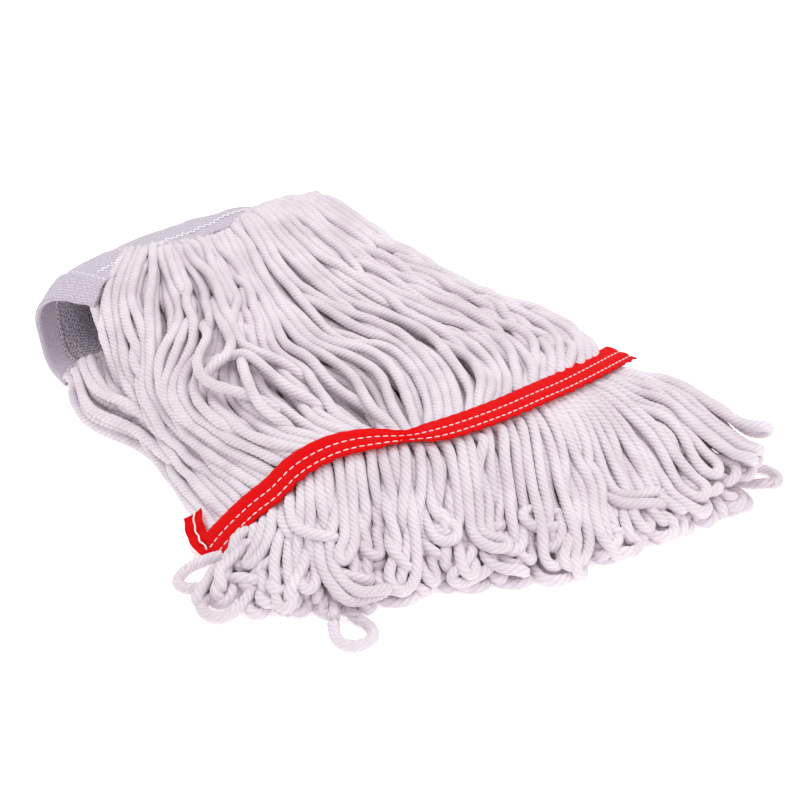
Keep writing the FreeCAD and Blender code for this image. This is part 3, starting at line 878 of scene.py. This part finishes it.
def clothPiece(name, size, steps, place, material, thick):
    # a sheet shaped by place, which takes how far a point is along and across the flat cloth
    shape = bmesh.new()
    bmesh.ops.create_grid(shape, x_segments=steps[0], y_segments=steps[1], size=0.5)
    uv = shape.loops.layers.uv.new("UVMap")
    for face in shape.faces:
        for loop in face.loops:
            spot = loop.vert.co
            loop[uv].uv = ((spot.x + 0.5) * size[0] * mm, (spot.y + 0.5) * size[1] * mm)
    for vert in shape.verts:
        vert.co = Vector(place((vert.co.x + 0.5) * size[0], (vert.co.y + 0.5) * size[1])) * mm
    piece = addMesh(name, shape, material)
    wall = piece.modifiers.new("thickness", "SOLIDIFY")
    wall.thickness = thick * mm
    wall.offset = 0
    mesh = finishedMesh(piece)
    piece.modifiers.clear()
    piece.data = mesh
    return piece


band = {
    "span": 181.0,  # along the fold, mm
    "flat": 14.5,  # from the bend to the edge under the yarn
    "bend": 24.6,  # radius of the bend, outside
    "bow": 240.0,  # radius of the fold line in plan
    "centre": (70.0, 16.0),
    "turn": -6.7,  # of its middle about the bow's centre, in degrees
    "wall": 8.0,
    "rim": 2.4,  # thickness of the wall at its ends
    "hem": 13.0,
    "sheet": 0.8,
    "middleHeight": 25.2,
    "leftSink": 9,  # of the upper wall over the open end
    "rightSink": 9,
    "splay": 20,  # of the lower wall at the open end
    "swell": 1.3,  # waves of the cloth, 20 mm long
    "crumple": 0.45,  # and 6 mm long
    "lining": (146.0, 81.0),  # flat
}
roundLength = band["bend"] * math.pi
profileLength = 2 * band["flat"] + roundLength


def bandPoint(along, around, inset):
    # along the fold from its middle, around the wall from the upper edge, inwards from its outside
    flat, bend = band["flat"], band["bend"]
    if around < flat:
        r, z = band["bow"] - bend - flat + around, bend - inset
    elif around < flat + roundLength:
        a = (around - flat) / bend
        r, z = band["bow"] - bend + (bend - inset) * math.sin(a), (bend - inset) * math.cos(a)
    else:
        r, z = band["bow"] - bend - (around - flat - roundLength), inset - bend
    z += band["middleHeight"]
    angle = along / band["bow"] + math.radians(band["turn"])
    x = band["centre"][0] - r * math.cos(angle)
    y = band["centre"][1] + r * math.sin(angle)
    # the upper wall's end hangs over the opening, and the lower wall's is splayed on the floor
    high = min(max(z / 50, 0), 1)
    near = along + band["span"] / 2
    other = band["span"] / 2 - along
    sink = band["leftSink"] * float(smooth(12, -2, near)) + band["rightSink"] * float(smooth(55, 0, other))
    z -= sink * high ** 1.5
    y -= band["splay"] * float(smooth(62, -2, near)) * float(smooth(24, 4, z)) * (band["bow"] - r) / 39
    swell = noise.noise(Vector((x, y, z)) * 0.045) * band["swell"] * high
    fine = noise.noise(Vector((x, y, z)) * 0.16) * band["crumple"] * high
    z += swell + fine
    x -= fine * 0.8
    return x, y, max(z, 0.45)


def wallAt(along):
    # the wall is only mesh at its ends, and thick where the yarn fills it
    edge = band["span"] / 2 - abs(along)
    return band["rim"] + (band["wall"] - band["rim"]) * float(smooth(2, 24, edge))


rimArc = band["rim"] / 2 * math.pi
meshWidth = band["span"] + 2 * rimArc + 2 * band["hem"]
liningSize = band["lining"]


def meshPlace(along, around):
    # the outer mesh runs over the outside, turns in at both ends and ends with a hem inside
    s = along - meshWidth / 2
    half = band["span"] / 2
    far = abs(s)
    sign = 1 if s > 0 else -1
    if far <= half:
        return bandPoint(s, around, 0)
    if far <= half + rimArc:
        radius = band["rim"] / 2
        a = (far - half) / radius
        return bandPoint(sign * (half + radius * math.sin(a)), around, radius * (1 - math.cos(a)))
    inside = half - (far - half - rimArc)
    return bandPoint(sign * inside, around, wallAt(inside))


def liningPlace(along, around):
    # the lining is cut to the inside of the wall
    s = (along / liningSize[0] - 0.5) * (band["span"] - 2 * band["hem"] + 6)
    return bandPoint(s, around / liningSize[1] * profileLength, wallAt(s) + 1.0)


outerMesh = clothPiece("headband_mesh", (meshWidth, profileLength), (150, 60), meshPlace, knitLook,
                       band["sheet"])
lining = clothPiece("headband_lining", liningSize, (90, 50), liningPlace, liningLook, band["sheet"])
for piece, slot, parts in ((outerMesh, "mesh", named("headband_mesh", "headband_hem")),
                           (lining, "lining", named("headband_lining"))):
    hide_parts(*parts)
    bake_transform(piece)
tell("headband made")

hemSeam = {
    "pitch": 3.2,  # mm
    "fromHem": 1.5,
    "gaps": (0.12, 0.86),  # where a stitch starts and ends in its pitch
    "insideRadius": 0.4,
    "outsideRadius": 0.34,
}
zigzag = {
    "turns": 74,
    "radius": 0.42,
    "fromLeft": 16,
    "fromEnds": 34,
    "swing": 2.2,
    "slack": 0.5,
}


def threadLine(shape, points, radius):
    # a thread through the points, as one bent tube in the bmesh
    line = newLine("thread_line")
    line.bevel_depth = radius * mm
    line.bevel_resolution = 1
    line.use_fill_caps = True
    addSpline(line, [Vector(place) * mm for place in points], 2)
    shape.from_mesh(lineMesh(line))


def addStitch(shape, start, end, radius):
    # one short stitch, rounded at its ends
    start, end = Vector(start) * mm, Vector(end) * mm
    lie = end - start
    turn = lie.to_track_quat("Z", "Y").to_matrix().to_4x4()
    size = Matrix.Diagonal((radius * mm, radius * mm, lie.length / 2, 1))
    bmesh.ops.create_uvsphere(shape, u_segments=6, v_segments=5, radius=1,
                              matrix=Matrix.Translation((start + end) / 2) @ turn @ size)


def hemStitches(shape, upperHalf, inside):
    # the lines of stitches that hold the hems at both ends, seen inside the tunnel and outside it
    low, high = (0, profileLength / 2) if upperHalf else (profileLength / 2, profileLength)
    count = int((high - low) / hemSeam["pitch"])
    radius = hemSeam["insideRadius" if inside else "outsideRadius"]
    for sign in (-1, 1):
        s = sign * (band["span"] / 2 - band["hem"] + hemSeam["fromHem"])
        inset = wallAt(s) + 1.7 if inside else -0.45
        for i in range(count):
            ends = [bandPoint(s, low + (high - low) * (i + gap) / count, inset) for gap in hemSeam["gaps"]]
            addStitch(shape, *ends, radius)


for half, body in (("upper", "upper_half"), ("lower", "lower_half")):
    shape = bmesh.new()
    hemStitches(shape, half == "upper", True)
    hemFaces = len(shape.faces)
    hemStitches(shape, half == "upper", False)
    # zigzag along the yarn's edge, with a few loops of it left slack
    points = []
    for i in range(zigzag["turns"]):
        share = i / (zigzag["turns"] - 1)
        s = -band["span"] / 2 + zigzag["fromLeft"] + (band["span"] - zigzag["fromEnds"]) * share
        swing = (zigzag["swing"] if i % 2 else -zigzag["swing"]) + chance.normal(0, zigzag["slack"])
        edge = 9.0 + 7.0 * float(smooth(10, 40, s)) if half == "upper" else profileLength - 8.0
        points.append(bandPoint(s, edge + swing, -0.6 - abs(chance.normal(0, 0.2))))
    threadLine(shape, points, zigzag["radius"])
    piece = addMesh("headband_stitches_" + half, shape, threadLook)
    # the inside stitches take the darker hem thread colour, partly painted shade for the needle holes
    piece.data.materials.append(hemThreadShadeLook)
    for polygon in piece.data.polygons[:hemFaces]:
        polygon.material_index = 1
    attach(piece, body)
    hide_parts(*named("headband_stitching_" + half))
tell("headband stitched")


def tapePlace(line, side, lift):
    # where a point of the flat tape goes: side is 1 on the outside of the yarn, -1 on the inside
    width = tapes["width"]

    def place(along, across):
        share = along / line.length
        middle = line.at(share, "middle")
        out = line.at(share, "out")
        over = line.at(share, "across")
        gap = float(np.linalg.norm(middle - np.array(tapes["pinchAt"])))
        pinch = math.exp(-(gap / tapes["pinchReach"]) ** 2) if side > 0 and line is upperTape else 0.0
        half = (width + (tapes["pinchWidth"] - width) * pinch) / width
        v = (across - width / 2) * half
        near, far = (math.exp(-((across - width / 2 - row) / tapes["rowWidth"]) ** 2) for row in tapes["rows"])
        puff = tapes["puff"] * (1 - near - far)
        ripple = tapes["ripple"] * math.sin(along * 2 * math.pi / tapes["rippleLength"]
                                            + 1.3 * math.sin(along / 23))
        edge = abs(across / width * 2 - 1)
        scallop = 0
        if across > width / 2:
            wave = tapes["scallop"] * math.sin(along * 2 * math.pi / tapes["scallopLength"])
            scallop = wave * smooth(0.72, 1, edge)
        crease = pinch * tapes["crease"] * math.cos(across * 1.15)
        rise = lift + side * (puff + ripple * (0.4 + 0.6 * edge) + crease)
        rise -= side * 0.35 * max(0, edge - 0.8) / 0.2  # its edges lie lower
        spot = middle + over * (v + scallop) + out * rise
        if side < 0:
            spot[2] = max(spot[2], 0.6)
        return spot
    return place


def tapeStitches(place, line, side):
    shape = bmesh.new()
    count = int(line.length / tapes["stitchPitch"])
    out = side * tapes["stitchLift"]
    for row in tapes["rows"]:
        for i in range(count):
            a = (i + 0.12) * line.length / count
            b = a + tapes["stitch"] * line.length / count / tapes["stitchPitch"]
            lifted = [place(s, tapes["width"] / 2 + row) + line.at(s / line.length, "out") * out
                      for s in (a, b)]
            addStitch(shape, *lifted, tapes["threadRadius"])
    return shape


def joinInto(piece, extra):
    # puts one piece's mesh into another
    shape = bmesh.new()
    shape.from_mesh(piece.data)
    shape.from_mesh(extra.data)
    shape.to_mesh(piece.data)
    shape.free()
    bpy.data.objects.remove(extra)


# the cut end of the under tape, which curls up outside the left edge
tab = {
    "route": [(71, -113.5, 5.5), (63, -114.5, 6.5), (56, -113.5, 9), (50, -111, 13)],
    "width": 9.0,
    "over": (0.34, 0.76, 0.49),  # the way across it
    "out": (0.45, -0.62, 0.64),  # and out of it
    "curl": 1.5,
    "ripple": 0.5,
}
tabRoute = through(tab["route"], 1.0)
tabLength = lengthOf(tabRoute)
tabOver = unit(np.array(tab["over"]))
tabOut = unit(np.array(tab["out"]))


def tabPlace(along, across):
    share = along / tabLength
    spot = share * (len(tabRoute) - 1)
    middle = np.array([np.interp(spot, np.arange(len(tabRoute)), tabRoute[:, i]) for i in range(3)])
    v = across - tab["width"] / 2
    curl = tab["curl"] * share * (v / 4) ** 2 + tab["ripple"] * math.sin(along * 0.8)
    place = middle + tabOver * v + tabOut * curl
    place[2] = max(place[2], 0.6)
    return place


for half, line, body in (("upper", upperTape, "upper_half"), ("lower", lowerTape, "lower_half")):
    shapes = []
    for face, side in (("top", 1), ("under", -1)):
        width = tapes["width"]
        place = tapePlace(line, side, tapes["lift"] if side > 0 else tapes["drop"][half])
        piece = clothPiece("tape_%s_%s" % (half, face), (line.length, width), (200, 14), place, tapeLook,
                           tapes["thick"])
        if half == "upper" and face == "under":
            joinInto(piece, clothPiece("tab", (tabLength, tab["width"]), (30, 8), tabPlace, tapeLook,
                                       tapes["thick"]))
        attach(piece, body)
        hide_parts(*named("tailband_%s_%s" % (half, face)))
        shapes.append(tapeStitches(place, line, side))
    joined = shapes[0]
    if half == "upper":
        threadLine(joined, [tabPlace(tabLength * i / 8, tab["width"] * (0.5 + 0.08 * (-1) ** i)) + tabOut * 0.7
                            for i in range(1, 9)], tapes["slackRadius"])
    spare = bpy.data.meshes.new("spare")
    shapes[1].to_mesh(spare)
    shapes[1].free()
    joined.from_mesh(spare)
    bpy.data.meshes.remove(spare)
    piece = addMesh("tape_stitches_" + half, joined, threadLook)
    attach(piece, body)
    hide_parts(*named("tailband_stitching_" + half))
tell("tapes made")

# matt white paper under soft light from all sides
studio = {"sky": 0.78, "floorGlow": 0.36, "floorHalf": 6}
bpy.context.scene.view_settings.view_transform = "Standard"
floorLook, tree, shader = newMaterial("matt_white_paper", {
    "Base Color": linear("#FFFFFF"), "Roughness": 0.9, "Emission Color": linear("#FFFFFF"),
    "Emission Strength": studio["floorGlow"]})
ground = bmesh.new()
bmesh.ops.create_grid(ground, x_segments=1, y_segments=1, size=studio["floorHalf"])
floor = addMesh("floor", ground, floorLook, False)

world = bpy.data.worlds.new("studio")
bpy.context.scene.world = world
world.use_nodes = True
sky = world.node_tree.nodes["Background"]
sky.inputs["Color"].default_value = linear("#FFFFFF")
sky.inputs["Strength"].default_value = studio["sky"]

lamps = {
    "key_lamp": {"place": (-0.35, 0.1, 1.9), "size": 1.0, "power": 10.5},
    "fill_lamp": {"place": (1.2, 0.3, 1.5), "size": 1.2, "power": 7},
}
for name, lamp in lamps.items():
    light = bpy.data.lights.new(name, "AREA")
    light.shape = "SQUARE"
    light.size = lamp["size"]
    light.energy = lamp["power"]
    thing = addObject(name, light)
    thing.location = lamp["place"]
    thing.rotation_euler = (-Vector(lamp["place"])).to_track_quat("-Z", "Y").to_euler()

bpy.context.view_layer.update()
tell("done")
